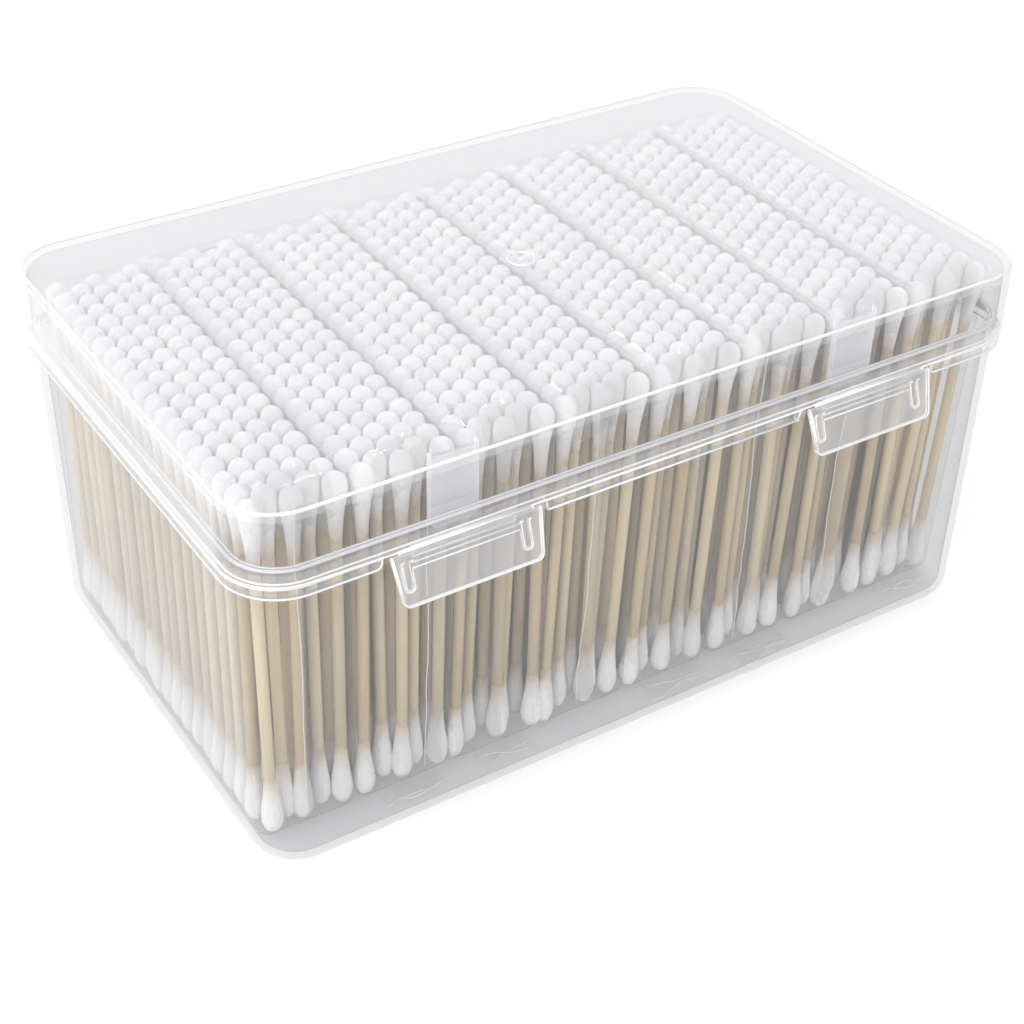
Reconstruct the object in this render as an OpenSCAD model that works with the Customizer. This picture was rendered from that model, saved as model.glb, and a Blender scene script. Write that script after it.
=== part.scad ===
// Clear plastic box of cotton swabs, which stand in it in eight film bags.
// The box body and its lid are thin mouldings, with snap hinges at the back and two latch
// flaps on film hinges at the front. Millimetres: X runs along the box, the front is towards
// -Y, and the origin is the middle of the face that the box stands on.

/* [Swabs] */
// Length of a swab from tip to tip
swab_l = 76; // [66:1:90]
// Widest diameter of a cotton bud
bud_d = 4.4; // [3.8:0.1:4.45]
// Length of a cotton bud along its stick
bud_l = 15; // [10:0.5:20]
// Diameter of the wooden stick
stick_d = 2.2; // [1.8:0.1:2.6]
// Cotton over the end of the stick
bud_cap = 1.2; // [0.8:0.1:1.8]

/* [Film bags] */
// Thickness of the film
film_t = 0.2; // [0.1:0.05:0.3]
// Lean of the bags, with their tops towards the front
bag_lean = 2; // [0:0.25:2.25]
// Room between the front wall and the bags, at their tops
front_room = 4.9; // [4.5:0.1:8]
// Room between the bags and the back wall, at their tops
back_room = 7.2; // [6.5:0.1:12]
// Room between the bags and the underside of the lid
head_room = 0.8; // [0.6:0.1:4]
// Length of the sealed film end that lies on the floor in front of a bag
tail_l = 2.4; // [1.5:0.1:5]

/* [Box body] */
// Thickness of the walls
wall_t = 1.3; // [1:0.1:1.6]
// Thickness of the floor
floor_t = 1.6; // [1.2:0.1:2]
// Radius of the rounded edge between the walls and the floor, outside
base_fillet = 4.15; // [3.75:0.05:5]
// How far each wall leans in from the hem down to the floor
wall_draft = 0.45; // [0.2:0.05:0.8]
// Height of the hem that runs round the wall under the lid
hem_h = 2.45; // [2:0.05:4]
// How far the hem stays inside the lid's outline
hem_inset = 0.15; // [0:0.05:0.4]
// Height of the rim that stands up inside the lid
rim_h = 2.6; // [1.5:0.1:5]

/* [Lid] */
// Length of the lid at the lower edge of its skirt
lid_l = 170; // [160:1:200]
// Depth of the lid at the lower edge of its skirt
lid_d = 106; // [90:1:130]
// Radius of the lid's corners, seen from above
corner_r = 11.4; // [10:0.1:14]
// Height of the lid from the lower edge of its skirt to its top
lid_h = 14.8; // [12:0.1:20]
// Thickness of the lid's top plate
lid_t = 1.5; // [1.2:0.1:2]
// Thickness of the lid's skirt
skirt_t = 1.3; // [1:0.1:1.6]
// How far the skirt leans in from its lower edge to the top
skirt_draft = 0.3; // [0.1:0.05:0.6]
// Radius of the lid's upper edge
lid_edge_r = 1; // [0.6:0.1:1.5]
// Diameter of the round mark that the moulding gate leaves
gate_d = 5; // [3:0.5:8]

/* [Tongues] */
// Distance of the tongues from the middle of the lid
tongue_x = 43.65; // [35:0.5:50]
// Width of a tongue
tongue_w = 9.6; // [6:0.2:14]
// Thickness of a tongue
tongue_t = 1.2; // [0.8:0.1:1.3]
// Length of a tongue below the lid's top plate
tongue_l = 15; // [11:0.5:17]
// Room between the front wall and a tongue
tongue_room = 2; // [1.6:0.1:2.2]

/* [Latches] */
// Distance of the latches from the middle of the box
latch_x = 44.3; // [35:0.1:50]
// Width of a latch flap at its hinge
latch_w = 29.5; // [24:0.5:34]
// Width of a latch flap at its foot
latch_foot_w = 28; // [20:0.5:29]
// Length of a latch flap from its hinge to its foot
latch_l = 9.2; // [8:0.1:12]
// Thickness of a latch flap
latch_t = 1; // [0.8:0.1:1.2]
// Radius of a latch flap's lower corners
latch_foot_r = 1.5; // [0.5:0.1:2.5]
// Width of the hook bar
hook_w = 21; // [16:0.5:23]
// Height of the hook bar
hook_h = 2.4; // [1.8:0.1:3]
// How deep the hook bar reaches under its catch ledge
hook_grip = 0.5; // [0.3:0.05:0.55]
// Width of the looped rib at each end of the hook bar
loop_w = 2.4; // [2.2:0.1:2.8]
// Distance from the hinge down to the foot of the looped ribs
loop_l = 7.2; // [5.5:0.1:7.5]
// Thickness of the ribs
rib_t = 0.7; // [0.5:0.1:0.8]

/* [Hinges] */
// Distance of the hinges from the middle of the box
hinge_x = 44; // [35:1:50]
// Width of a hinge clip
clip_w = 12; // [8:1:16]
// Thickness of a hinge clip's wall
clip_t = 1; // [0.8:0.1:1.1]
// Diameter of the bar that the clip turns on
bar_d = 2.6; // [2:0.1:2.8]
// Width of a hinge ear
ear_w = 2; // [1.5:0.5:4]
// Distance of the bar behind the lid
bar_back = 2.2; // [2.1:0.1:3]
// Distance of the bar below the lid's skirt
bar_drop = 1.7; // [1.6:0.1:2]

/* [Clearances] */
// Gap between the lid's skirt and the hem
seat_gap = 0.05; // [0.02:0.01:0.1]
// Gap between the lid's skirt and the rim
rim_gap = 0.3; // [0.2:0.05:0.4]
// Gap between a bud and the film round it
bud_gap = 0.05; // [0.05:0.01:0.08]
// Gap between a bud and the next one in its row
row_gap = 0.2; // [0.1:0.05:0.3]
// Gap between a bud's bore and its stick
bore_gap = 0.02; // [0.01:0.01:0.05]
// Gap between two bags
bag_gap = 0.1; // [0.05:0.05:0.2]
// Gap between the bags and the side walls
side_gap = 0.3; // [0.3:0.05:0.5]
// Gap between a bag and the floor
floor_gap = 0.02; // [0.01:0.01:0.05]
// Gap between a hook bar and its catch ledge
hook_gap = 0.15; // [0.1:0.05:0.3]
// Gap between a hook bar and its catch ledge while the flap is let go
release_gap = 0.13; // [0.1:0.01:0.2]
// Gap between a latch flap and the catch ledge behind it
ledge_gap = 0.25; // [0.2:0.05:0.3]
// Gap between the lid's skirt and a latch flap
flap_gap = 0.3; // [0.3:0.05:0.5]
// Gap between a film hinge and the latch flap's barrel
film_gap = 0.05; // [0.02:0.01:0.1]
// Gap between the hinge bar and the clip's bore
bar_gap = 0.1; // [0.05:0.01:0.1]
// Gap between a hinge clip and the ears beside it
ear_gap = 0.3; // [0.2:0.1:0.6]

/* [Hidden] */
bag_count = 8;

// Every wall is one profile, swept round the rectangle of the corner centres. A profile's
// first number is its distance outside that rectangle and its second is its height.
core_l = lid_l - 2 * corner_r;
core_d = lid_d - 2 * corner_r;

// Distances outside the rectangle
rim_out = corner_r - skirt_t - rim_gap;
wall_out = rim_out;
wall_in = wall_out - wall_t;
base_out = wall_out - wall_draft;
base_in = base_out - wall_t;
hem_out = corner_r - hem_inset;
inner_fillet = base_fillet - floor_t;

// Heights
bag_z = floor_t + floor_gap;
bag_h = swab_l + 2 * (bud_gap + film_t);
box_h = bag_z + bag_h + head_room + lid_t;
skirt_z = box_h - lid_h;
hem_top = skirt_z - seat_gap;
hem_z = hem_top - hem_h;
rim_z = hem_top + rim_h;
lid_under = box_h - lid_t;

// Front and back faces of the walls: outside, and inside at the rim
back_out = core_d / 2 + wall_out;
back_in = core_d / 2 + wall_in;
front_in = -back_in;

// Small forms of the mouldings
rim_chamfer = 0.3;
lid_inner_r = 0.6;
gate_depth = 0.3;
gate_nub_d = 1.4;
tongue_foot_r = 1.5;
// How far a cut runs past what it cuts
overcut = 1;

// Film's seal, and the cotton's wall where a bud runs out on its stick
tail_t = 0.3;
neck_t = 0.3;

// Pattern of the swabs in a bag: columns along X, staggered by half a row
bud_r = bud_d / 2;
film_r = bud_r + bud_gap;
bag_r = film_r + film_t;
bag_pitch = (core_l + 2 * (base_in - side_gap)) / bag_count;
bag_w = bag_pitch - bag_gap;
row_pitch = bud_d + row_gap;
column_least = sqrt(pow(bud_d + bud_gap, 2) - pow(row_pitch / 2, 2));
columns = 1 + floor((bag_w - 2 * bag_r) / column_least);
column_pitch = (bag_w - 2 * bag_r) / (columns - 1);
bag_d_most = back_in - front_in - front_room - back_room;
rows = 1 + floor((bag_d_most - 2 * bag_r) / row_pitch);
// Between the centres of a swab's round ends
end_span = swab_l - bud_d;
lean_run = end_span * sin(bag_lean);
end_z = [bag_z + bag_r, bag_z + bag_r + end_span * cos(bag_lean)];
first_y = front_in + front_room + bag_r;
last_y = first_y + (rows - 1) * row_pitch;

// Latches, from the centre of a flap's barrel
barrel_r = latch_t / 2;
latch_y = -(lid_d / 2 + barrel_r / 2);
latch_z = skirt_z - flap_gap - barrel_r;
ledge_y = latch_y + barrel_r + ledge_gap;
hook_reach = ledge_y + hook_grip - latch_y;
hook_top = latch_z - hem_z + hook_gap;
hook_foot = hook_top + hook_h;
// The flaps rest where their hook bars have just come clear of the ledges
release_reach = ledge_y - release_gap - latch_y;
latch_rest = acos(release_reach / norm([hook_reach, hook_top])) - atan2(hook_top, hook_reach);
notch_side = 1.1;
notch_bevel = 1;
notch_r = 1.3;
ledge_side = 0.2;
ledge_w = hook_w - 2 * ledge_side;
ledge_chamfer = 0.4;
rib_top = 0.8;
// How far the foot of a looped rib stands behind the flap
loop_foot = 0.5;
film_hinge_t = 0.3;
film_root = 0.1;

// Hinges
bar_r = bar_d / 2;
bore_r = bar_r + bar_gap;
clip_r = bore_r + clip_t;
ear_wall = 1;
ear_r = bar_r + ear_wall;
bar_y = lid_d / 2 + bar_back;
bar_z = skirt_z - bar_drop;
snap_w = 2;
ear_gusset = 9;
clip_rise = 4;

$fn = 64;

function arc(centre, r, from, to, steps = 6) =
    [for (step = [0 : steps]) let (a = from + (to - from) * step / steps) centre + r * [cos(a), sin(a)]];

// Sweeps a profile round the rectangle of the corner centres
module around(l, d) {
    for (turn = [0 : 3]) {
        along = turn % 2 == 0 ? l : d;
        across = turn % 2 == 0 ? d : l;
        rotate(turn * 90) {
            translate([along / 2, across / 2, 0])
                rotate_extrude(angle = 90)
                    children();
            translate([-along / 2, across / 2, 0])
                rotate([90, 0, 90])
                    linear_extrude(height = along)
                        children();
        }
    }
}

// Gives a profile in Y and Z its width along X
module widen(w) {
    rotate([90, 0, 90])
        linear_extrude(height = w, center = true)
            children();
}

// A plate that hangs down from the origin, with rounded lower corners
module hanging_plate(top_w, foot_w, l, r, t) {
    rotate([90, 0, 0])
        linear_extrude(height = t, center = true)
            polygon(concat(
                [[-top_w / 2, 0]],
                arc([-foot_w / 2 + r, -l + r], r, 180, 270),
                arc([foot_w / 2 - r, -l + r], r, 270, 360),
                [[top_w / 2, 0]]
            ));
}

// Floor's edge, wall, hem and rim of the box body
module wall_profile() {
    polygon(concat(
        [[0, 0]],
        arc([base_out - base_fillet, base_fillet], base_fillet, -90, 0),
        [
            [wall_out, hem_z],
            [hem_out, hem_z],
            [hem_out, hem_top],
            [rim_out, hem_top],
            [rim_out, rim_z - rim_chamfer],
            [rim_out - rim_chamfer, rim_z],
            [wall_in, rim_z]
        ],
        arc([base_in - inner_fillet, floor_t + inner_fillet], inner_fillet, 0, -90),
        [[0, floor_t]]
    ));
}

// Gap in the hem that a latch flap's back swings into, sloped on the side of the middle and
// rounded on the other
module latch_notch() {
    half = latch_w / 2 + notch_side;
    translate([0, -back_out, 0])
        rotate([90, 0, 0])
            linear_extrude(height = corner_r)
                polygon(concat(
                    [[latch_x + half + notch_r, hem_z - overcut]],
                    arc([latch_x + half + notch_r, hem_z + notch_r], notch_r, 270, 180),
                    [
                        [latch_x + half, hem_top + overcut],
                        [latch_x - half, hem_top + overcut],
                        [latch_x - half, hem_top],
                        [latch_x - half - notch_bevel, hem_z - overcut]
                    ]
                ));
}

module catch_ledge() {
    inside = -back_out + wall_t / 2;
    translate([latch_x, 0, 0])
        widen(ledge_w)
            polygon([
                [inside, hem_z],
                [ledge_y, hem_z],
                [ledge_y, hem_top - ledge_chamfer],
                [ledge_y + ledge_chamfer, hem_top],
                [inside, hem_top]
            ]);
}

// Gap in the hem for a hinge clip
module clip_notch() {
    w = clip_w + 2 * ear_gap;
    translate([hinge_x - w / 2, back_out, hem_z - overcut])
        cube([w, corner_r, hem_h + 2 * overcut]);
}

// Two ears on the back wall and the bar between them
module hinge_seat() {
    translate([hinge_x, 0, 0]) {
        for (side = [-1, 1])
            translate([side * (clip_w / 2 + ear_gap + ear_w / 2), 0, 0])
                widen(ear_w) {
                    translate([bar_y, bar_z])
                        circle(ear_r);
                    polygon([
                        [back_out - wall_t / 2, bar_z + bar_r],
                        [bar_y, bar_z + bar_r],
                        [bar_y + bar_r, bar_z - bar_r],
                        [back_out - wall_t / 2, bar_z - ear_gusset]
                    ]);
                }
        translate([0, bar_y, bar_z])
            rotate([0, 90, 0])
                cylinder(r = bar_r, h = clip_w + 2 * ear_gap + ear_w, center = true);
    }
}

module box_body() {
    color("whitesmoke", 0.5) {
        difference() {
            union() {
                around(core_l, core_d)
                    wall_profile();
                translate([-core_l / 2, -core_d / 2, 0])
                    cube([core_l, core_d, floor_t]);
            }
            for (side = [0, 1])
                mirror([side, 0, 0]) {
                    latch_notch();
                    clip_notch();
                }
        }
        for (side = [0, 1])
            mirror([side, 0, 0]) {
                catch_ledge();
                hinge_seat();
            }
    }
}

// Edge of the top plate and the skirt of the lid
module lid_profile() {
    top_out = corner_r - skirt_draft;
    top_in = top_out - skirt_t;
    polygon(concat(
        [[0, lid_under], [0, box_h]],
        arc([top_out - lid_edge_r, box_h - lid_edge_r], lid_edge_r, 90, 0),
        [[corner_r, skirt_z], [corner_r - skirt_t, skirt_z]],
        arc([top_in - lid_inner_r, lid_under - lid_inner_r], lid_inner_r, 0, 90)
    ));
}

// Round dimple with a nub in it, where the gate was
module gate_mark() {
    translate([0, 0, box_h - gate_depth])
        difference() {
            cylinder(d = gate_d, h = lid_t);
            cylinder(d = gate_nub_d, h = gate_depth);
        }
}

module tongue() {
    translate([tongue_x, front_in + tongue_room + tongue_t / 2, lid_under])
        hanging_plate(tongue_w, tongue_w, tongue_l, tongue_foot_r, tongue_t);
}

// Thin strip between the skirt's edge and the flap's barrel
module film_hinge() {
    outer = -lid_d / 2;
    low = skirt_z - flap_gap + film_gap;
    translate([latch_x, 0, 0])
        widen(latch_w - 2 * latch_foot_r)
            polygon([
                [outer, skirt_z + film_root],
                [outer + film_hinge_t, skirt_z + film_root],
                [outer + film_hinge_t, skirt_z],
                [latch_y + film_hinge_t / 2, low],
                [latch_y - film_hinge_t / 2, low],
                [outer, skirt_z]
            ]);
}

// Clip that snaps over the hinge bar and its web up to the skirt
module hinge_clip() {
    web_y = lid_d / 2 - skirt_t / 2;
    translate([hinge_x, 0, 0])
        widen(clip_w)
            difference() {
                union() {
                    translate([bar_y, bar_z])
                        circle(clip_r);
                    polygon([
                        [web_y, skirt_z],
                        [bar_y - bore_r, bar_z + bar_r / 2],
                        [bar_y + bar_r / 2, bar_z + clip_r - clip_t / 4],
                        [lid_d / 2, skirt_z + clip_rise],
                        [web_y, skirt_z + clip_rise]
                    ]);
                }
                translate([bar_y, bar_z]) {
                    circle(bore_r);
                    rotate(225)
                        translate([0, -snap_w / 2])
                            square([2 * clip_r, snap_w]);
                }
            }
}

module lid() {
    color("white", 0.4) {
        difference() {
            union() {
                around(core_l, core_d)
                    lid_profile();
                translate([-core_l / 2, -core_d / 2, lid_under])
                    cube([core_l, core_d, lid_t]);
            }
            gate_mark();
        }
        for (side = [0, 1])
            mirror([side, 0, 0]) {
                tongue();
                film_hinge();
                hinge_clip();
            }
    }
}

// Form with a round foot, for the outside or the inside of a looped rib
module loop_form(r, depth) {
    rotate([90, 0, 0])
        translate([0, -loop_l + loop_w / 2, -depth]) {
            cylinder(r = r, h = depth);
            translate([-r, 0, 0])
                cube([2 * r, loop_l, depth]);
        }
}

// Two thin ribs joined at their feet, as deep as the hook bar where they pass it
module looped_rib() {
    foot_r = loop_w / 2;
    difference() {
        intersection() {
            widen(loop_w)
                polygon([
                    [0, -rib_top],
                    [hook_reach, -hook_top],
                    [hook_reach, -hook_foot],
                    [latch_t / 2 + loop_foot, -loop_l],
                    [0, -loop_l]
                ]);
            loop_form(foot_r, hook_reach + overcut);
        }
        translate([0, latch_t / 2, 0])
            loop_form(foot_r - rib_t, hook_reach + overcut);
    }
}

// Flap with its barrel, hook bar and ribs, hanging straight down from the hinge's axis
module latch_flap() {
    hanging_plate(latch_w, latch_foot_w, latch_l, latch_foot_r, latch_t);
    rotate([0, 90, 0])
        cylinder(r = barrel_r, h = latch_w, center = true);
    widen(hook_w + rib_t)
        polygon([
            [0, -hook_top],
            [hook_reach, -hook_top],
            [hook_reach, -hook_top - hook_h / 2],
            [0, -hook_foot]
        ]);
    for (side = [-1, 1])
        translate([side * (hook_w + loop_w) / 2, 0, 0])
            looped_rib();
}

module latch(side) {
    color("white", 0.5)
        translate([side * latch_x, latch_y, latch_z])
            rotate([-latch_rest, 0, 0])
                latch_flap();
}

function bag_x(bag) = (bag - (bag_count + 1) / 2) * bag_pitch;

// Hollow form round the round ends of a bag's outermost swabs
module pouch(bag, r) {
    half_w = (columns - 1) / 2 * column_pitch;
    sides = 16;
    hull()
        for (x = [-half_w, half_w], y = [first_y, last_y], top = [0, 1])
            translate([bag_x(bag) + x, y + (1 - top) * lean_run, end_z[top]])
                sphere(r / cos(180 / sides), $fn = sides);
}

// Sealed end of the film, which slopes down onto the floor in front of the bag
module film_tail(bag) {
    front = first_y + lean_run - bag_r;
    high = end_z[0];
    low = bag_z + tail_t;
    translate([bag_x(bag), 0, 0])
        widen(bag_w - 2 * bag_r)
            polygon([
                [front + film_t / 2, high],
                [front - tail_l / 3, low + tail_t],
                [front - tail_l, low],
                [front - tail_l, low - tail_t],
                [front - tail_l / 3, low],
                [front + film_t / 2, high - 2 * tail_t]
            ]);
}

module film_bag(bag) {
    color("white", 0.3) {
        difference() {
            pouch(bag, bag_r);
            pouch(bag, film_r);
        }
        film_tail(bag);
    }
}

// Puts a copy at the middle of each swab in a bag, along its lean
module at_swabs(bag) {
    for (column = [0 : columns - 1], row = [0 : rows - 1 - column % 2])
        translate([
            bag_x(bag) + (column - (columns - 1) / 2) * column_pitch,
            first_y + (row + column % 2 / 2) * row_pitch,
            end_z[1]
        ])
            rotate([bag_lean, 0, 0])
                translate([0, 0, -end_span / 2])
                    children();
}

module swab_sticks(bag) {
    color("burlywood")
        at_swabs(bag)
            cylinder(d = stick_d, h = swab_l - 2 * bud_cap, center = true);
}

// Half section of a bud: a round end at the origin, a taper down the stick, and a blind bore
module bud_profile() {
    taper_l = bud_l - bud_r;
    bore = stick_d / 2 + bore_gap;
    difference() {
        union() {
            intersection() {
                circle(bud_r);
                square(bud_r);
            }
            polygon([[0, 0], [bud_r, 0], [stick_d / 2 + neck_t, -taper_l], [0, -taper_l]]);
        }
        translate([-bore, -bud_l])
            square([2 * bore, bud_l + bud_r - bud_cap + bore_gap]);
    }
}

module cotton_buds(bag) {
    color("white")
        at_swabs(bag)
            for (end = [0, 1])
                mirror([0, 0, end])
                    translate([0, 0, end_span / 2])
                        rotate_extrude()
                            bud_profile();
}

box_body();
lid();
latch(-1);  // latch_left
latch(1);  // latch_right
for (bag = [1 : bag_count]) {
    film_bag(bag);
    swab_sticks(bag);
    cotton_buds(bag);
}
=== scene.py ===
import math

import bmesh
import bpy
import numpy as np
from mathutils import Matrix, Vector, noise


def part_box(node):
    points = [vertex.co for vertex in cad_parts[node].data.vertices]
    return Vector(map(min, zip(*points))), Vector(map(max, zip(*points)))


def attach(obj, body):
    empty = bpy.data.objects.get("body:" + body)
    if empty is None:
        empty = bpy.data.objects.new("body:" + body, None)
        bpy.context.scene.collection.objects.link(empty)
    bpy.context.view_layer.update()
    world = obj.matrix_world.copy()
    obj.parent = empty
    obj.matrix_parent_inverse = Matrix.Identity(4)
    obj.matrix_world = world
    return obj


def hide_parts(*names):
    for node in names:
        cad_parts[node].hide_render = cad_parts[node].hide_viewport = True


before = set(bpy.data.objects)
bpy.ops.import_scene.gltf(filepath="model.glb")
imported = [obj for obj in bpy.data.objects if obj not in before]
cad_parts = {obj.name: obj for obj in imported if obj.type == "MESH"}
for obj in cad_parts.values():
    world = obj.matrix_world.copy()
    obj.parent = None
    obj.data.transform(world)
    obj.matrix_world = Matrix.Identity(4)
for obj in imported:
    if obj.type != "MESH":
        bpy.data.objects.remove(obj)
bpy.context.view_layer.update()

mm = 0.001

# Camera
# The box is seen from above its front left corner, with the long front wall running away to
# the right. The lens and the place of the camera were worked out from the box's own edges.
view_azimuth = math.radians(-33.04)
view_elevation = math.radians(35.60)
view_roll = math.radians(1.23)
view_target = Vector((-11.08, -15.75, 34.0)) * mm
view_distance = 378.27 * mm
sensor_width = 36.0
lens_length = 67.02
nearest_seen = 10.0 * mm


def camera_matrix(target, distance, azimuth, elevation, roll):
    back = Vector((
        math.sin(azimuth) * math.cos(elevation),
        -math.cos(azimuth) * math.cos(elevation),
        math.sin(elevation),
    ))
    right = Vector((math.cos(azimuth), math.sin(azimuth), 0.0))
    up = back.cross(right)
    rolled_right = right * math.cos(roll) + up * math.sin(roll)
    rolled_up = up * math.cos(roll) - right * math.sin(roll)
    turn = Matrix((rolled_right, rolled_up, back)).transposed().to_4x4()
    return Matrix.Translation(target + back * distance) @ turn


camera_data = bpy.data.cameras.new("camera")
camera_data.lens = lens_length
camera_data.sensor_width = sensor_width
camera_data.clip_start = nearest_seen
camera = bpy.data.objects.new("camera", camera_data)
camera.matrix_world = camera_matrix(
    view_target, view_distance, view_azimuth, view_elevation, view_roll)
bpy.context.scene.collection.objects.link(camera)
bpy.context.scene.camera = camera
bpy.context.scene.view_settings.view_transform = "Standard"

# Studio
# A white sweep under soft lights from above, from the front and from the left. A small lamp
# puts the sparks on the film. Under the box the floor glows less, a painted shadow over the real
# soft shadow that its matte share keeps.
floor_size = 8.0
floor_drop = 0.05 * mm
floor_white = (0.93, 0.93, 0.93, 1.0)
floor_glow = 0.85
# Painted shadow: inside this rounded rectangle under the box the floor's glow drops to a lower
# share
painted_shade_half_x = 82.6 * mm
painted_shade_half_y = 50.6 * mm
painted_shade_corner = 10.0 * mm
painted_shade_fade = 1.5 * mm
painted_shade_glow = 0.45
world_white = (1.0, 1.0, 1.0, 1.0)
world_strength = 0.62
white_strength = 1.0
box_middle = (0.0, 0.0, 0.04)
# Each lamp's name, place and size in metres, and power in watts
lamps = (
    ("top_light", (-0.2, 0.1, 1.0), (1.3, 1.3), 5.8),
    ("front_light", (-0.15, -1.0, 0.75), (1.6, 1.1), 6.0),
    ("left_light", (-1.0, -0.2, 0.7), (1.2, 1.1), 8.0),
    ("spark_light", (0.25, 0.55, 0.65), (0.04, 0.04), 0.35),
)


def new_material(name):
    material = bpy.data.materials.new(name)
    material.use_nodes = True
    tree = material.node_tree
    tree.nodes.clear()
    output = tree.nodes.new("ShaderNodeOutputMaterial")
    return material, tree, output


def link(tree, source, target):
    tree.links.new(source, target)


def shader(tree, kind, **values):
    node = tree.nodes.new(kind)
    for socket, value in values.items():
        node.inputs[socket].default_value = value
    return node


def maths(tree, operation, *values, clamp=False):
    node = tree.nodes.new("ShaderNodeMath")
    node.operation = operation
    node.use_clamp = clamp
    for socket, value in zip(node.inputs, values):
        if isinstance(value, (int, float)):
            socket.default_value = value
        else:
            link(tree, value, socket)
    return node.outputs[0]


def mix_shaders(tree, factor, first, second):
    node = tree.nodes.new("ShaderNodeMixShader")
    if isinstance(factor, (int, float)):
        node.inputs[0].default_value = factor
    else:
        link(tree, factor, node.inputs[0])
    link(tree, first.outputs[0], node.inputs[1])
    link(tree, second.outputs[0], node.inputs[2])
    return node


def object_axes(tree):
    """The object's own X, Y and Z at the shaded point."""
    place = tree.nodes.new("ShaderNodeTexCoord")
    split = tree.nodes.new("ShaderNodeSeparateXYZ")
    link(tree, place.outputs["Object"], split.inputs[0])
    return split.outputs


def seen_white(tree):
    paths = tree.nodes.new("ShaderNodeLightPath")
    seen = maths(tree, "ADD", paths.outputs["Is Camera Ray"], paths.outputs["Is Glossy Ray"])
    return maths(tree, "ADD", seen, paths.outputs["Is Transmission Ray"], clamp=True)


def studio_floor():
    """White where it is seen, with less glow inside a rounded rectangle under the box: a painted
    shadow.
    """
    material, tree, output = new_material("studio_floor")
    matte = shader(tree, "ShaderNodeBsdfDiffuse", Color=floor_white)
    glow = shader(tree, "ShaderNodeEmission", Strength=white_strength)
    axes = object_axes(tree)
    squares = []
    for axis, half in (("X", painted_shade_half_x), ("Y", painted_shade_half_y)):
        reach = maths(tree, "ABSOLUTE", axes[axis])
        past = maths(tree, "SUBTRACT", reach, half - painted_shade_corner)
        squares.append(maths(tree, "POWER", maths(tree, "MAXIMUM", past, 0.0), 2.0))
    reach = maths(tree, "SQRT", maths(tree, "ADD", *squares))
    past = maths(tree, "SUBTRACT", reach, painted_shade_corner)
    past = maths(tree, "DIVIDE", past, painted_shade_fade, clamp=True)
    glowing = maths(tree, "MULTIPLY_ADD", past, floor_glow - painted_shade_glow, painted_shade_glow)
    share = maths(tree, "MULTIPLY", seen_white(tree), glowing)
    link(tree, mix_shaders(tree, share, matte, glow).outputs[0], output.inputs[0])
    return material


half_floor = floor_size / 2
floor_mesh = bpy.data.meshes.new("floor")
floor_mesh.from_pydata(
    [(-half_floor, -half_floor, 0), (half_floor, -half_floor, 0),
     (half_floor, half_floor, 0), (-half_floor, half_floor, 0)],
    [], [(0, 1, 2, 3)])
floor = bpy.data.objects.new("floor", floor_mesh)
floor.location.z = -floor_drop
floor_mesh.materials.append(studio_floor())
bpy.context.scene.collection.objects.link(floor)

world = bpy.data.worlds.new("studio")
world.use_nodes = True
world_tree = world.node_tree
world_light = world_tree.nodes["Background"]
world_light.inputs["Color"].default_value = world_white
world_more = maths(
    world_tree, "MULTIPLY", seen_white(world_tree), white_strength - world_strength)
world_glow = maths(world_tree, "ADD", world_more, world_strength)
link(world_tree, world_glow, world_light.inputs["Strength"])
bpy.context.scene.world = world


def soft_lamp(name, place, size, power):
    data = bpy.data.lights.new(name, "AREA")
    data.shape = "RECTANGLE"
    data.size, data.size_y = size
    data.energy = power
    lamp = bpy.data.objects.new(name, data)
    lamp.location = place
    lamp.rotation_euler = (Vector(box_middle) - Vector(place)).to_track_quat("-Z", "Y").to_euler()
    bpy.context.scene.collection.objects.link(lamp)


for lamp_name, lamp_place, lamp_size, lamp_power in lamps:
    soft_lamp(lamp_name, lamp_place, lamp_size, lamp_power)

# Box body
# One injection moulding in natural polypropylene, clear with a slight haze. The haze thickens
# where the wall is seen on edge. White tubes in its sharp edges are painted highlights, for the
# light that the rounded edges catch and carry.
clear_tint = (0.907, 0.905, 0.911, 1.0)
milk_colour = (0.81, 0.81, 0.825, 1.0)
veil_power = 5.5
shine_power = 5.0
shine_straight = 0.03
shine_grazing = 0.6
# With this blend the facing weight is one less the cosine, on both sides of a face
even_blend = 0.5
rim_band = (62.9 * mm, 68.3 * mm)
rim_band_haze = 0.13
weld_distance = 0.01 * mm
sharp_angle = math.radians(32)
edge_radius = 0.2 * mm
edge_sides = 6
# The white of the edge tubes is a painted highlight
edge_highlight_colour = (0.93, 0.93, 0.94, 1.0)
edge_gloss = 0.3
edge_shine = 0.5


def ranged(tree, value, low, high, new_low, new_high):
    node = tree.nodes.new("ShaderNodeMapRange")
    node.inputs["From Min"].default_value = low
    node.inputs["From Max"].default_value = high
    node.inputs["To Min"].default_value = new_low
    node.inputs["To Max"].default_value = new_high
    link(tree, value, node.inputs["Value"])
    return node.outputs[0]


def slant_share(tree, power, straight, grazing):
    """A share that grows from straight on to grazing, the same on both sides of a face."""
    weight = shader(tree, "ShaderNodeLayerWeight", Blend=even_blend)
    slant = maths(tree, "POWER", weight.outputs["Facing"], power)
    return ranged(tree, slant, 0.0, 1.0, straight, grazing)


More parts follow.
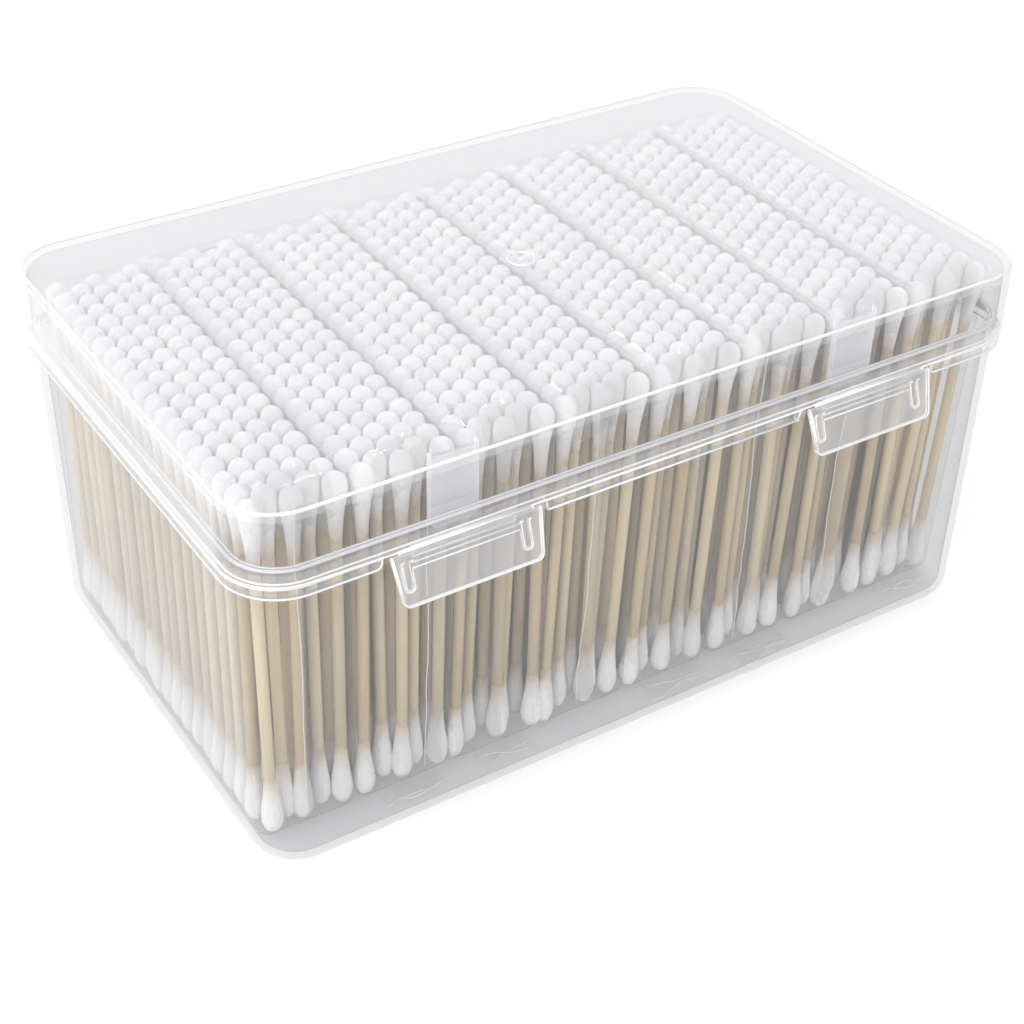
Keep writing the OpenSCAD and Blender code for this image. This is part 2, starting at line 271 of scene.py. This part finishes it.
def polypropylene(name, haze, edge_haze, gloss, extra_haze=None):
    """Clear plastic whose haze and gloss lie on the faces that a ray comes in by."""
    material, tree, output = new_material(name)
    clear = shader(tree, "ShaderNodeBsdfTransparent", Color=clear_tint)
    milky = shader(tree, "ShaderNodeBsdfDiffuse", Color=milk_colour)
    shine = shader(tree, "ShaderNodeBsdfGlossy", Roughness=gloss)
    veil = slant_share(tree, veil_power, haze, edge_haze)
    if extra_haze:
        veil = maths(tree, "ADD", veil, extra_haze(tree), clamp=True)
    body = mix_shaders(tree, veil, clear, milky)
    shine_share = slant_share(tree, shine_power, shine_straight, shine_grazing)
    body = mix_shaders(tree, shine_share, body, shine)
    leaving = tree.nodes.new("ShaderNodeNewGeometry").outputs["Backfacing"]
    link(tree, mix_shaders(tree, leaving, body, clear).outputs[0], output.inputs[0])
    return material


def dress(node, material):
    """Gives a moulding its plastic. It lets the light through, so it throws no shadow."""
    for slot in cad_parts[node].material_slots:
        slot.material = material
    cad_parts[node].visible_shadow = False


class Build:
    """Points and faces of one mesh, with a number or two for each point."""

    def __init__(self):
        self.points, self.faces, self.marks = [], [], {}

    def add(self, points, faces, **marks):
        first = len(self.points)
        self.points.extend(points)
        self.faces.extend(tuple(first + corner for corner in face) for face in faces)
        for name, values in marks.items():
            self.marks.setdefault(name, []).extend(values)

    def object(self, name, material, body, shades=True):
        mesh = bpy.data.meshes.new(name)
        mesh.from_pydata(self.points, [], self.faces)
        for mark, values in self.marks.items():
            mesh.attributes.new(mark, "FLOAT", "POINT").data.foreach_set("value", values)
        mesh.polygons.foreach_set("use_smooth", [True] * len(mesh.polygons))
        mesh.materials.append(material)
        piece = bpy.data.objects.new(name, mesh)
        piece.visible_shadow = shades
        bpy.context.scene.collection.objects.link(piece)
        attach(piece, body)
        return piece


def tube_faces(rings, sides):
    faces = [
        (step * sides + side, step * sides + (side + 1) % sides,
         (step + 1) * sides + (side + 1) % sides, (step + 1) * sides + side)
        for step in range(rings - 1) for side in range(sides)]
    faces.append(tuple(reversed(range(sides))))
    faces.append(tuple((rings - 1) * sides + side for side in range(sides)))
    return faces


def sweep(build, path, radius, sides, closed=False):
    points, side = [], None
    last = len(path) - 1
    for step, point in enumerate(path):
        before = path[step - 1] if step or closed else point
        after = path[(step + 1) % len(path)] if step < last or closed else point
        along = (after - before).normalized()
        side = along.orthogonal() if side is None else side - along * side.dot(along)
        side.normalize()
        other = along.cross(side)
        for turn in range(sides):
            angle = turn * math.tau / sides
            points.append(point + (side * math.cos(angle) + other * math.sin(angle)) * radius)
    if closed:
        points.extend(points[:sides])
    faces = tube_faces(len(points) // sides, sides)
    build.add(points, faces[:-2] if closed else faces)


def edge_paths(node, radius):
    """Paths that run inside the sharp outer edges of a moulding, a radius from both faces."""
    shape = bmesh.new()
    shape.from_mesh(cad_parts[node].data)
    bmesh.ops.remove_doubles(shape, verts=shape.verts, dist=weld_distance)
    inset, joined = {}, {}
    for edge in shape.edges:
        if len(edge.link_faces) != 2 or edge.calc_face_angle_signed() < sharp_angle:
            continue
        one, two = (face.normal for face in edge.link_faces)
        inset[edge] = (one + two) * (-radius / (1 + one.dot(two)))
        for vert in edge.verts:
            joined.setdefault(vert, []).append(edge)
    ends = [vert for vert, edges in joined.items() if len(edges) != 2]
    paths, used = [], set()

    def follow(vert, edge):
        path = [vert.co + inset[edge]]
        while edge not in used:
            used.add(edge)
            vert = edge.other_vert(vert)
            onward = [other for other in joined[vert] if other is not edge]
            if len(joined[vert]) != 2 or onward[0] in used:
                path.append(vert.co + inset[edge])
                break
            path.append(vert.co + (inset[edge] + inset[onward[0]]) / 2)
            edge = onward[0]
        return path

    for vert in ends:
        paths.extend(follow(vert, edge) for edge in joined[vert] if edge not in used)
    for edge in inset:
        if edge not in used:
            paths.append(follow(edge.verts[0], edge))
    shape.free()
    return paths


# White edge tubes: painted highlights standing in for the light that rounded plastic edges catch
# and carry
def painted_highlight_material():
    material, tree, output = new_material("painted_edge_highlights")
    milky = shader(tree, "ShaderNodeBsdfDiffuse", Color=edge_highlight_colour)
    shine = shader(tree, "ShaderNodeBsdfGlossy", Roughness=edge_gloss)
    link(tree, mix_shaders(tree, edge_shine, milky, shine).outputs[0], output.inputs[0])
    return material


painted_highlight = painted_highlight_material()


# Sweeps the painted highlight tubes along a moulding's sharp edges, and along any loops given
def edge_lines(node, body, radius, name, more_paths=()):
    build = Build()
    for path in edge_paths(node, radius):
        sweep(build, path, radius, edge_sides)
    for path, path_radius in more_paths:
        sweep(build, path, path_radius, edge_sides, closed=True)
    build.object(name, painted_highlight, body, shades=False)


def rim_veil(tree):
    """The body's rim and the lid's skirt lie double in this band."""
    middle, half = (rim_band[0] + rim_band[1]) / 2, (rim_band[1] - rim_band[0]) / 2
    in_band = maths(tree, "COMPARE", object_axes(tree)["Z"], middle, half)
    return maths(tree, "MULTIPLY", in_band, rim_band_haze)


body_plastic = polypropylene(
    "clear_body_plastic", haze=0.09, edge_haze=0.8, gloss=0.16, extra_haze=rim_veil)
dress("box_body", body_plastic)
edge_lines("box_body", "box", edge_radius, "body_edge_highlights")

# Lid
# A second moulding in the same plastic. It carries the two tongues inside its front, which look
# milkier, the gate mark in the middle and the clips of the back hinges.
lid_depth = 106.0 * mm
lid_draft = 0.3 * mm
lid_edge_round = 1.0 * mm
lid_corner_round = 11.1 * mm
corner_steps = 14
lid_plate_z = 78.5 * mm
plate_haze = 0.16
tongue_y = -47.5 * mm
tongue_half_t = 0.8 * mm
tongue_reach_x = 60.0 * mm
tongue_haze = 0.66
top_line_radius = 0.32 * mm


def lid_veil(tree):
    """More haze in the top plate, and most in the tongues that hang under it."""
    axes = object_axes(tree)
    in_depth = maths(tree, "COMPARE", axes["Y"], tongue_y, tongue_half_t)
    in_width = maths(tree, "COMPARE", axes["X"], 0.0, tongue_reach_x)
    in_top = maths(tree, "GREATER_THAN", axes["Z"], lid_plate_z)
    under_top = maths(tree, "SUBTRACT", 1.0, in_top)
    in_tongue = maths(tree, "MULTIPLY", maths(tree, "MULTIPLY", in_depth, in_width), under_top)
    on_tongue = maths(tree, "MULTIPLY", in_tongue, tongue_haze)
    on_top = maths(tree, "MULTIPLY", in_top, plate_haze)
    return maths(tree, "ADD", maths(tree, "MAXIMUM", on_tongue, on_top), rim_veil(tree))


def rounded_loop(half_x, half_y, radius, z):
    points = []
    for corner, (sx, sy) in enumerate(((1, 1), (-1, 1), (-1, -1), (1, -1))):
        for step in range(corner_steps + 1):
            angle = (corner + step / corner_steps) * math.pi / 2
            points.append(Vector((
                sx * (half_x - radius) + radius * math.cos(angle),
                sy * (half_y - radius) + radius * math.sin(angle), z)))
    return points


lid_plastic = polypropylene(
    "clear_lid_plastic", haze=0.11, edge_haze=2.6, gloss=0.14, extra_haze=lid_veil)
dress("lid", lid_plastic)
lid_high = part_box("lid")[1]
# A white tube in the lid's rounded top edge, a painted highlight where the fillet catches the light
top_inset = lid_edge_round * (1 - math.sqrt(0.5)) + top_line_radius * math.sqrt(0.5)
lid_top_highlight = rounded_loop(
    lid_high.x - lid_draft - top_inset, lid_depth / 2 - lid_draft - top_inset,
    lid_corner_round - top_inset, lid_high.z - top_inset)
edge_lines("lid", "lid", edge_radius, "lid_edge_highlights", [(lid_top_highlight, top_line_radius)])

# Latch flaps
# Moulded with the lid on thin film hinges. They are thicker than the walls and show their hook
# bar and looped ribs through a milky plate.
latch_edge_radius = 0.16 * mm
latch_plastic = polypropylene("latch_plastic", haze=0.33, edge_haze=0.9, gloss=0.2)
for side in ("left", "right"):
    dress(f"latch_{side}", latch_plastic)
    edge_lines(f"latch_{side}", f"{side}_latch", latch_edge_radius, f"{side}_latch_edge_highlights")

# Cotton buds
# Cotton wool wound and pressed round both ends of each stick into a drop, soft at the surface.
# Every bud differs a little in width, length and lean, and the wood shows where it thins out.
bag_numbers = range(1, 9)
bud_width = 4.4 * mm
bud_length = 15.0 * mm
swab_length = 76.0 * mm
swab_lean = math.radians(2.0)
columns = 5
rows = 19
swab_seed = 41
top_sway = 0.15 * mm
top_drop = 0.35 * mm
foot_sway = 0.35 * mm
front_foot_sway = 1.3 * mm
# Shares of the bud's length from its tip, and of its widest radius
bud_outline = np.array([
    (0.004, 0.18), (0.03, 0.48), (0.075, 0.74), (0.135, 0.92), (0.21, 1.0), (0.29, 0.995),
    (0.38, 0.94), (0.48, 0.845), (0.58, 0.74), (0.68, 0.655), (0.79, 0.59), (0.90, 0.54),
    (1.0, 0.505),
])
# The upper buds are pressed rounder by the film, and the feet are built with half the rings
pressed_power = 1.25
top_outline = np.column_stack((bud_outline[:, 0] ** pressed_power, bud_outline[:, 1]))
foot_outline = bud_outline[::2]
top_bud_sides = 14
foot_bud_sides = 12
bud_seed = swab_seed * 7
bud_length_shares = (0.88, 1.0)
bud_width_shares = (0.93, 1.0)
bud_lump = 0.03
lump_waves = 3
# The cotton thins out from this share of the bud's length on
thin_start = 0.55
thin_power = 1.3
fibre_scale = 1100.0
fibre_detail = 3.0
fibre_stretch = (1.0, 1.0, 0.5)
bud_tone_share = 0.4
fibre_share = 0.6
cotton_shade = (0.77, 0.775, 0.78)
cotton_white = (0.96, 0.96, 0.955)
thin_wood_dark = (0.60, 0.47, 0.32)
thin_wood_light = (0.78, 0.65, 0.46)
cotton_roughness = 1.0
fibre_strength = 0.9
fibre_height = 0.6 * mm


def object_noise(tree, scale, detail, stretch):
    place = tree.nodes.new("ShaderNodeTexCoord")
    mapping = shader(tree, "ShaderNodeMapping", Scale=stretch)
    texture = shader(tree, "ShaderNodeTexNoise", Scale=scale, Detail=detail)
    link(tree, place.outputs["Object"], mapping.inputs["Vector"])
    link(tree, mapping.outputs[0], texture.inputs["Vector"])
    return texture.outputs["Fac"]


def relief(tree, height, strength, distance):
    node = shader(tree, "ShaderNodeBump", Strength=strength, Distance=distance)
    link(tree, height, node.inputs["Height"])
    return node.outputs[0]


def mark_value(tree, name):
    node = tree.nodes.new("ShaderNodeAttribute")
    node.attribute_name = name
    return node.outputs["Fac"]


def shared_tone(tree, tone_share, grain, grain_share):
    """A blend of a piece's own tone and the grain that runs over it."""
    tone = maths(tree, "MULTIPLY", mark_value(tree, "tone"), tone_share)
    return maths(tree, "ADD", tone, maths(tree, "MULTIPLY", grain, grain_share))


def two_colours(tree, factor, first, second):
    ramp = tree.nodes.new("ShaderNodeValToRGB")
    ramp.color_ramp.elements[0].color = (*first, 1.0)
    ramp.color_ramp.elements[1].color = (*second, 1.0)
    link(tree, factor, ramp.inputs[0])
    return ramp.outputs[0]


def mix_colours(tree, factor, first, second):
    node = tree.nodes.new("ShaderNodeMixRGB")
    link(tree, factor, node.inputs[0])
    link(tree, first, node.inputs[1])
    link(tree, second, node.inputs[2])
    return node.outputs[0]


def swab_axes(bag):
    """Centres of the round ends at the top and foot of a bag's swabs, with a small sway each."""
    low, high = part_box(f"cotton_buds_{bag}")
    luck = np.random.default_rng(swab_seed + bag)
    radius = bud_width / 2
    span = swab_length - bud_width
    column_step = (high.x - low.x - bud_width) / (columns - 1)
    row_step = (high.y - low.y - bud_width - span * math.sin(swab_lean)) / (rows - 1)
    tops, sways = [], []
    for column in range(columns):
        for row in range(rows - column % 2):
            tops.append((
                low.x + radius + column * column_step,
                low.y + radius + (row + column % 2 / 2) * row_step,
                high.z - radius))
            sways.append(front_foot_sway if row == 0 else foot_sway)
    tops = np.array(tops)
    feet = tops + np.array((0, math.sin(swab_lean), -math.cos(swab_lean))) * span
    sways = np.array(sways)
    tops[:, :2] += luck.uniform(-top_sway, top_sway, (len(tops), 2))
    tops[:, 2] -= luck.uniform(0, top_drop, len(tops))
    feet[:, 0] += luck.uniform(-1, 1, len(tops)) * sways
    feet[:, 1] += luck.uniform(-1, 1, len(tops)) * np.minimum(sways, foot_sway)
    return tops, feet


def across(axes):
    sides = np.cross(axes, (0.0, 1.0, 0.0))
    sides /= np.linalg.norm(sides, axis=1, keepdims=True)
    return sides, np.cross(axes, sides)


def turned_forms(starts, axes, lengths, radii, shares, reach, sides, lumps=None, turns=None):
    """Points of many turned forms at once: one for each start and axis, in the same outline."""
    one, two = across(axes)
    angles = np.arange(sides) * math.tau / sides
    angles = np.broadcast_to(angles, (len(starts), sides))
    angles = angles + (0 if turns is None else turns[:, None])
    swell = 1 if lumps is None else 1 + sum(
        lumps[:, wave, None] * np.cos((wave + 1) * angles + wave)
        for wave in range(lumps.shape[1]))
    ring = (one[:, None, :] * (swell * np.cos(angles))[..., None]
            + two[:, None, :] * (swell * np.sin(angles))[..., None])
    along = (lengths[:, None] * shares[None, :])[..., None]
    centre = starts[:, None, :] + axes[:, None, :] * along
    widths = (radii[:, None] * reach[None, :])[..., None, None]
    points = centre[:, :, None, :] + ring[:, None, :, :] * widths
    return points.reshape(len(starts), -1, 3)


def add_forms(build, forms, rings, sides, **marks):
    faces = tube_faces(rings, sides)
    for index, points in enumerate(forms):
        form_marks = {name: values[index].tolist() for name, values in marks.items()}
        build.add(points.tolist(), faces, **form_marks)


def cotton_material():
    material, tree, output = new_material("wound_cotton")
    cotton = shader(tree, "ShaderNodeBsdfDiffuse", Roughness=cotton_roughness)
    fibres = object_noise(tree, fibre_scale, fibre_detail, fibre_stretch)
    blended = shared_tone(tree, bud_tone_share, fibres, fibre_share)
    white = two_colours(tree, blended, cotton_shade, cotton_white)
    wood = two_colours(tree, fibres, thin_wood_dark, thin_wood_light)
    patches = ranged(tree, fibres, low=0.3, high=0.7, new_low=0.6, new_high=1.2)
    patchy = maths(tree, "MULTIPLY", mark_value(tree, "thin"), patches, clamp=True)
    link(tree, mix_colours(tree, patchy, white, wood), cotton.inputs["Color"])
    fuzz = relief(tree, fibres, fibre_strength, fibre_height)
    link(tree, fuzz, cotton.inputs["Normal"])
    link(tree, cotton.outputs[0], output.inputs[0])
    return material


cotton = cotton_material()
for bag in bag_numbers:
    luck = np.random.default_rng(bud_seed + bag)
    build = Build()
    tops, feet = swab_axes(bag)
    count = len(tops)
    axes = (feet - tops) / np.linalg.norm(feet - tops, axis=1, keepdims=True)
    for centres, inward, sides, outline in (
            (tops, axes, top_bud_sides, top_outline),
            (feet, -axes, foot_bud_sides, foot_outline)):
        shares, reach = outline[:, 0], outline[:, 1]
        lengths = bud_length * luck.uniform(*bud_length_shares, count)
        radii = bud_width / 2 * luck.uniform(*bud_width_shares, count)
        lumps = luck.uniform(-bud_lump, bud_lump, (count, lump_waves))
        turns = luck.uniform(0, math.tau, count)
        tones = luck.uniform(0, 1, count)
        forms = turned_forms(
            centres - inward * (bud_width / 2), inward, lengths, radii, shares, reach, sides,
            lumps, turns)
        thin = np.clip((shares - thin_start) / (1 - thin_start), 0, 1) ** thin_power
        add_forms(
            build, forms, len(outline), sides,
            tone=np.repeat(tones[:, None], len(outline) * sides, axis=1),
            thin=np.tile(np.repeat(thin, sides), (count, 1)))
    buds = build.object(f"wound_buds_{bag}", cotton, "box")
    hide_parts(f"cotton_buds_{bag}")

# Swab sticks
# Birch rods turned to size and left plain. Each has its own tone and a fine grain along it, and
# its ends sit in the cotton.
stick_width = 2.2 * mm
stick_sides = 10
stick_seed = swab_seed * 11
stick_shares = np.array((0.0, 0.5, 1.0))
stick_reach = np.ones(len(stick_shares))
grain_scale = 1400.0
grain_detail = 2.0
grain_stretch = (1.0, 1.0, 0.03)
stick_tone_share = 0.55
grain_share = 0.45
birch_dark = (0.53, 0.42, 0.26)
birch_light = (0.86, 0.76, 0.53)
birch_roughness = 0.4


def birch_material():
    material, tree, output = new_material("plain_birch")
    wood = shader(tree, "ShaderNodeBsdfDiffuse", Roughness=birch_roughness)
    grain = object_noise(tree, grain_scale, grain_detail, grain_stretch)
    blended = shared_tone(tree, stick_tone_share, grain, grain_share)
    link(tree, two_colours(tree, blended, birch_dark, birch_light), wood.inputs["Color"])
    link(tree, wood.outputs[0], output.inputs[0])
    return material


birch = birch_material()
for bag in bag_numbers:
    luck = np.random.default_rng(stick_seed + bag)
    build = Build()
    tops, feet = swab_axes(bag)
    count = len(tops)
    lengths = np.linalg.norm(feet - tops, axis=1)
    axes = (feet - tops) / lengths[:, None]
    forms = turned_forms(
        tops + axes * bud_width, axes, lengths - 2 * bud_width,
        np.full(count, stick_width / 2), stick_shares, stick_reach, stick_sides)
    tones = luck.uniform(0, 1, count)
    add_forms(
        build, forms, len(stick_shares), stick_sides,
        tone=np.repeat(tones[:, None], len(stick_shares) * stick_sides, axis=1))
    sticks = build.object(f"birch_sticks_{bag}", birch, "box")
    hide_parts(f"swab_sticks_{bag}")

# Film bags
# Thin clear film, heat sealed round the swabs of each bag, with a lapped seam down its front. Its
# ends are folded over loosely, crumpled at the top front and spread on the floor in front.
film_tint = (0.99, 0.99, 0.99, 1.0)
film_milk_colour = (0.9, 0.9, 0.91, 1.0)
film_gloss = 0.07
film_seed = swab_seed * 13
film_steps = (16, 52, 36)
film_radius = 2.45 * mm
film_room = 0.22 * mm
film_ceiling = 78.8 * mm
# Folds and ripples of the film, coarse and fine, counted by the metre
crease_coarse, crease_fine, fine_crease_share = 230, 620, 0.6
crease_level = 0.5
crease_shift = (3.1, 1.7, 0.9)
ripple_coarse, ripple_fine, fine_ripple_share = 120, 300, 0.6
ripple_shift = Vector((3, 7, 1))
film_ripple = 0.12 * mm
corner_crease = 0.9 * mm
corner_crease_reach = 7.0 * mm
corner_seed_scale = 100
# The seam down the front
seam_width = 3.6 * mm
seam_gap = 0.25 * mm
seam_top_gap = 2.5 * mm
seam_foot_gap = 3.0 * mm
seam_place = (-5.5, 4.0)
seam_steps = 44
seam_wave, seam_wave_scale, seam_wave_start = 1.1 * mm, 45, (2.3, 0.5)
seam_flutter, seam_flutter_scale, seam_flutter_start = 0.5 * mm, 160, (1.9, 4.5)
far_edge_wave = 0.4
# White lines along these seams and along the tails' free edges are painted glints of the film's
# edges
glinting_seams = (1, 2, 4, 6, 7)
seam_line_radius = 0.11 * mm
seam_line_sides = 5
# The loose end over the top front edge
fold_width = 15.5 * mm
fold_width_shares = (0.75, 1.0)
fold_crease_start = 0.5
fold_steps = 30
fold_rows = 18
fold_crease = 0.8 * mm
fold_above = 0.55 * mm
fold_reach = (4.0, 8.0)
fold_bend = 2.0 * mm
fold_corner_out, fold_corner_down = 0.2 * mm, 1.6 * mm
fold_hang_out = 0.5 * mm
fold_hang_down = (4.0, 8.0)
ragged_length, ragged_scale, ragged_row_step = 2.6 * mm, 130, 0.1
sheet_wander, sheet_wander_scale = 0.5 * mm, 260
# The loose end on the floor, in two layers
spread_tails = (2, 3, 5, 6, 8)
tail_rows = 20
tail_crease = 0.9 * mm
tail_crease_along = 0.35
tail_back, tail_back_up = 1.0 * mm, 1.5 * mm
tail_bend, tail_bend_up = 1.4 * mm, 0.9 * mm
tail_reach, tail_end_up = (2.2, 5.8), 0.7 * mm
tail_inset_left, tail_inset_right = 3.0, 2.0
tail_seed, tail_layer_seed = 20, 9
tail_line_share = 0.8


def film_material(name, haze, slant_haze, slant_power, shine):
    material, tree, output = new_material(name)
    clear = shader(tree, "ShaderNodeBsdfTransparent", Color=film_tint)
    milky = shader(tree, "ShaderNodeBsdfDiffuse", Color=film_milk_colour)
    gloss = shader(tree, "ShaderNodeBsdfGlossy", Roughness=film_gloss)
    body = mix_shaders(tree, slant_share(tree, slant_power, haze, slant_haze), clear, milky)
    shine_share = slant_share(tree, shine_power, shine, shine_grazing)
    link(tree, mix_shaders(tree, shine_share, body, gloss).outputs[0], output.inputs[0])
    return material


def crease(point, seed, along_x=1.0):
    """Sharp folds of two sizes, as film takes them: 0.5 in the flats, below 0 on the folds."""
    shift = Vector([seed * step for step in crease_shift])
    spot = Vector((point.x * along_x, point.y, point.z))
    coarse = abs(noise.noise(spot * crease_coarse + shift))
    fine = abs(noise.noise(spot * crease_fine - shift))
    return crease_level - coarse - fine_crease_share * fine


def wave_at(place, number, start):
    """A wave along a line, different for each number of a bag or a row."""
    return noise.noise(Vector((place, number * start[0], start[1])))


def grid_faces(rows, columns):
    wide = columns + 1
    return [
        (row * wide + step, row * wide + step + 1,
         (row + 1) * wide + step + 1, (row + 1) * wide + step)
        for row in range(rows) for step in range(columns)]


def loose_sheet(build, profile, low_x, high_x, seed, amount, floor_z, along_x=1.0):
    """A loose fold of film that follows a profile of (y, z) places. It gives back its free edge."""
    last = len(profile) - 1
    points = []
    for row, (y, z) in enumerate(profile):
        one, two = profile[max(row - 1, 0)], profile[min(row + 1, last)]
        run = Vector((0.0, two[0] - one[0], two[1] - one[1])).normalized()
        out = Vector((0.0, run.z, -run.y))
        for step in range(fold_steps + 1):
            x = low_x + (high_x - low_x) * step / fold_steps
            point = Vector((x, y, z))
            ragged = wave_at(x * ragged_scale, row, (ragged_row_step, seed))
            folded = crease(point, seed, along_x) * amount * (fold_crease_start + row / last)
            point += run * (ragged * ragged_length * row / last) + out * folded
            point.x += noise.noise(point * sheet_wander_scale) * sheet_wander
            point.z = min(max(point.z, floor_z), film_ceiling)
            points.append(point)
    build.add(points, grid_faces(last, fold_steps))
    return points[-fold_steps - 1:]


def eased(places, steps):
    """A profile of evenly shared places along straight runs between the given ones."""
    runs = np.array(places)
    knots = range(len(runs))
    spots = np.linspace(0, len(runs) - 1, steps)
    return [(np.interp(spot, knots, runs[:, 0]), np.interp(spot, knots, runs[:, 1]))
            for spot in spots]


def pouch_surface(low, high, radius, lean, steps):
    """A rounded box with a regular grid on each side, leaned back at its foot."""
    points, faces, index = [], [], {}
    size = high - low
    middle = (low + high) / 2

    def place(i, j, k):
        key = (i, j, k)
        if key in index:
            return index[key]
        raw = Vector((
            low.x + size.x * i / steps[0],
            low.y + size.y * j / steps[1],
            low.z + size.z * k / steps[2]))
        inner = Vector([
            min(max(raw[axis], low[axis] + radius), high[axis] - radius) for axis in range(3)])
        out = raw - inner
        if out.length > 0:
            raw = inner + out.normalized() * radius
        ripple = noise.noise(raw * ripple_coarse)
        ripple += fine_ripple_share * noise.noise(raw * ripple_fine + ripple_shift)
        from_corner = math.hypot(raw.y - low.y, raw.z - high.z) / corner_crease_reach
        raw = raw + (raw - middle).normalized() * ripple * film_ripple
        folded = max(crease(raw, low.x * corner_seed_scale), 0.0)
        raw.y -= folded * corner_crease * math.exp(-from_corner ** 2)
        raw.y += (high.z - raw.z) * math.tan(lean)
        index[key] = len(points)
        points.append(raw)
        return index[key]

    def grid(fixed, value, one, two, flip):
        for a in range(steps[one]):
            for b in range(steps[two]):
                corners = []
                for da, db in ((0, 0), (1, 0), (1, 1), (0, 1)):
                    key = [0, 0, 0]
                    key[fixed], key[one], key[two] = value, a + da, b + db
                    corners.append(place(*key))
                faces.append(tuple(reversed(corners)) if flip else tuple(corners))

    grid(0, 0, 1, 2, True)
    grid(0, steps[0], 1, 2, False)
    grid(1, 0, 0, 2, False)
    grid(1, steps[1], 0, 2, True)
    grid(2, 0, 0, 1, True)
    grid(2, steps[2], 0, 1, False)
    return points, faces


film = film_material("clear_film", haze=0.01, slant_haze=0.2, slant_power=3.0, shine=0.04)
seam_film = film_material("seam_film", haze=0.02, slant_haze=0.25, slant_power=2.5, shine=0.04)
creased_film = film_material(
    "creased_film", haze=0.02, slant_haze=0.6, slant_power=2.2, shine=0.06)
glint_lines = Build()
lean_run = (swab_length - bud_width) * math.sin(swab_lean)
for bag in bag_numbers:
    low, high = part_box(f"cotton_buds_{bag}")
    room = Vector((film_room, film_room, film_room))
    top = Vector((high.x, high.y - lean_run, high.z))
    build = Build()
    build.add(*pouch_surface(low - room, top + room, film_radius, swab_lean, film_steps))
    pouch = build.object(f"film_pouch_{bag}", film, "box", shades=False)
    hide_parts(f"film_bag_{bag}")

    luck = np.random.default_rng(film_seed + bag)
    middle_x = (low.x + high.x) / 2
    front_y = low.y - film_room - seam_gap
    seam_x = middle_x + luck.uniform(*seam_place) * mm
    left_edge, right_edge = [], []
    for z in np.linspace(high.z - seam_top_gap, low.z + seam_foot_gap, seam_steps):
        wave = wave_at(z * seam_wave_scale, bag, seam_wave_start) * seam_wave
        flutter = abs(wave_at(z * seam_flutter_scale, bag, seam_flutter_start)) * seam_flutter
        y = front_y + (high.z - z) * math.tan(swab_lean)
        left_edge.append(Vector((seam_x + wave, y - flutter, z)))
        right_edge.append(Vector((seam_x + wave * far_edge_wave + seam_width, y, z)))
    seam = Build()
    seam.add(left_edge + right_edge, [
        (step, step + 1, seam_steps + step + 1, seam_steps + step)
        for step in range(seam_steps - 1)])
    seam.object(f"film_seam_{bag}", seam_film, "box", shades=False)
    # Some seams get a white line, a painted glint along the film's edge
    if bag in glinting_seams:
        sweep(glint_lines, left_edge, seam_line_radius, seam_line_sides)

    folds = Build()
    half_fold = fold_width / 2
    top_z = high.z + fold_above
    foot_y = low.y + lean_run
    low_x = middle_x - half_fold * luck.uniform(*fold_width_shares)
    high_x = middle_x + half_fold * luck.uniform(*fold_width_shares)
    reach = luck.uniform(*fold_reach) * mm
    over_top = eased([
        (front_y + reach, top_z), (front_y + fold_bend, top_z),
        (front_y - fold_corner_out, top_z - fold_corner_down),
        (front_y - fold_hang_out, top_z - luck.uniform(*fold_hang_down) * mm)], fold_rows)
    loose_sheet(folds, over_top, low_x, high_x, bag, fold_crease, low.z)
    for layer in (0, 1) if bag in spread_tails else ():
        on_floor = eased([
            (foot_y + tail_back, low.z + tail_back_up),
            (foot_y - tail_bend, low.z + tail_bend_up),
            (foot_y - luck.uniform(*tail_reach) * mm, low.z + tail_end_up)], tail_rows)
        tail_low = low_x + layer * luck.uniform(0, tail_inset_left) * mm
        tail_high = high_x - layer * luck.uniform(0, tail_inset_right) * mm
        free_edge = loose_sheet(
            folds, on_floor, tail_low, tail_high, bag + tail_seed + layer * tail_layer_seed,
            tail_crease, low.z, tail_crease_along)
        # A white line along the tail's free edge, a painted glint
        sweep(glint_lines, free_edge, seam_line_radius * tail_line_share, seam_line_sides)
    folds.object(f"film_folds_{bag}", creased_film, "box", shades=False)

# The painted glint lines take the white of the painted edge highlights
glint_lines.object("film_seam_lines", painted_highlight, "box", shades=False)

# Film between the bags
# Where two bags press against each other their film stands up in a pair of soft ridges, milky
# because it lies double there, with a valley between them.
ridge_half_width = 1.2 * mm
ridge_height = 0.4 * mm
ridge_valley = 0.7 * mm
ridge_edge_drop = 0.25 * mm
ridge_end_gap = 0.6 * mm
ridge_columns = 10
ridge_rows = 60
ridge_wander, ridge_wander_scale, ridge_wander_start = 0.35 * mm, 70, (3.3, 0.2)
ridge_ripple, ridge_ripple_scale = 0.12 * mm, 380
ridge_film = film_material(
    "doubled_film", haze=0.12, slant_haze=0.6, slant_power=1.8, shine=0.06)
for bag in bag_numbers[:-1]:
    low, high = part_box(f"cotton_buds_{bag}")
    gap_x = (high.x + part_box(f"cotton_buds_{bag + 1}")[0].x) / 2
    end_y = high.y - lean_run
    points = []
    for y in np.linspace(low.y + ridge_end_gap, end_y - ridge_end_gap, ridge_rows):
        wander = wave_at(y * ridge_wander_scale, bag, ridge_wander_start) * ridge_wander
        for column in range(ridge_columns + 1):
            share = column / ridge_columns * 2 - 1
            rise = ridge_height * math.sin(abs(share) * math.pi)
            rise -= ridge_valley * (1 - abs(share)) ** 2 + ridge_edge_drop * share ** 4
            spot = Vector((gap_x + share * ridge_half_width + wander, y, high.z))
            spot.z += film_room + rise + noise.noise(spot * ridge_ripple_scale) * ridge_ripple
            points.append(spot)
    ridge = Build()
    ridge.add(points, grid_faces(ridge_rows - 1, ridge_columns))
    ridge.object(f"film_ridge_{bag}", ridge_film, "box", shades=False)
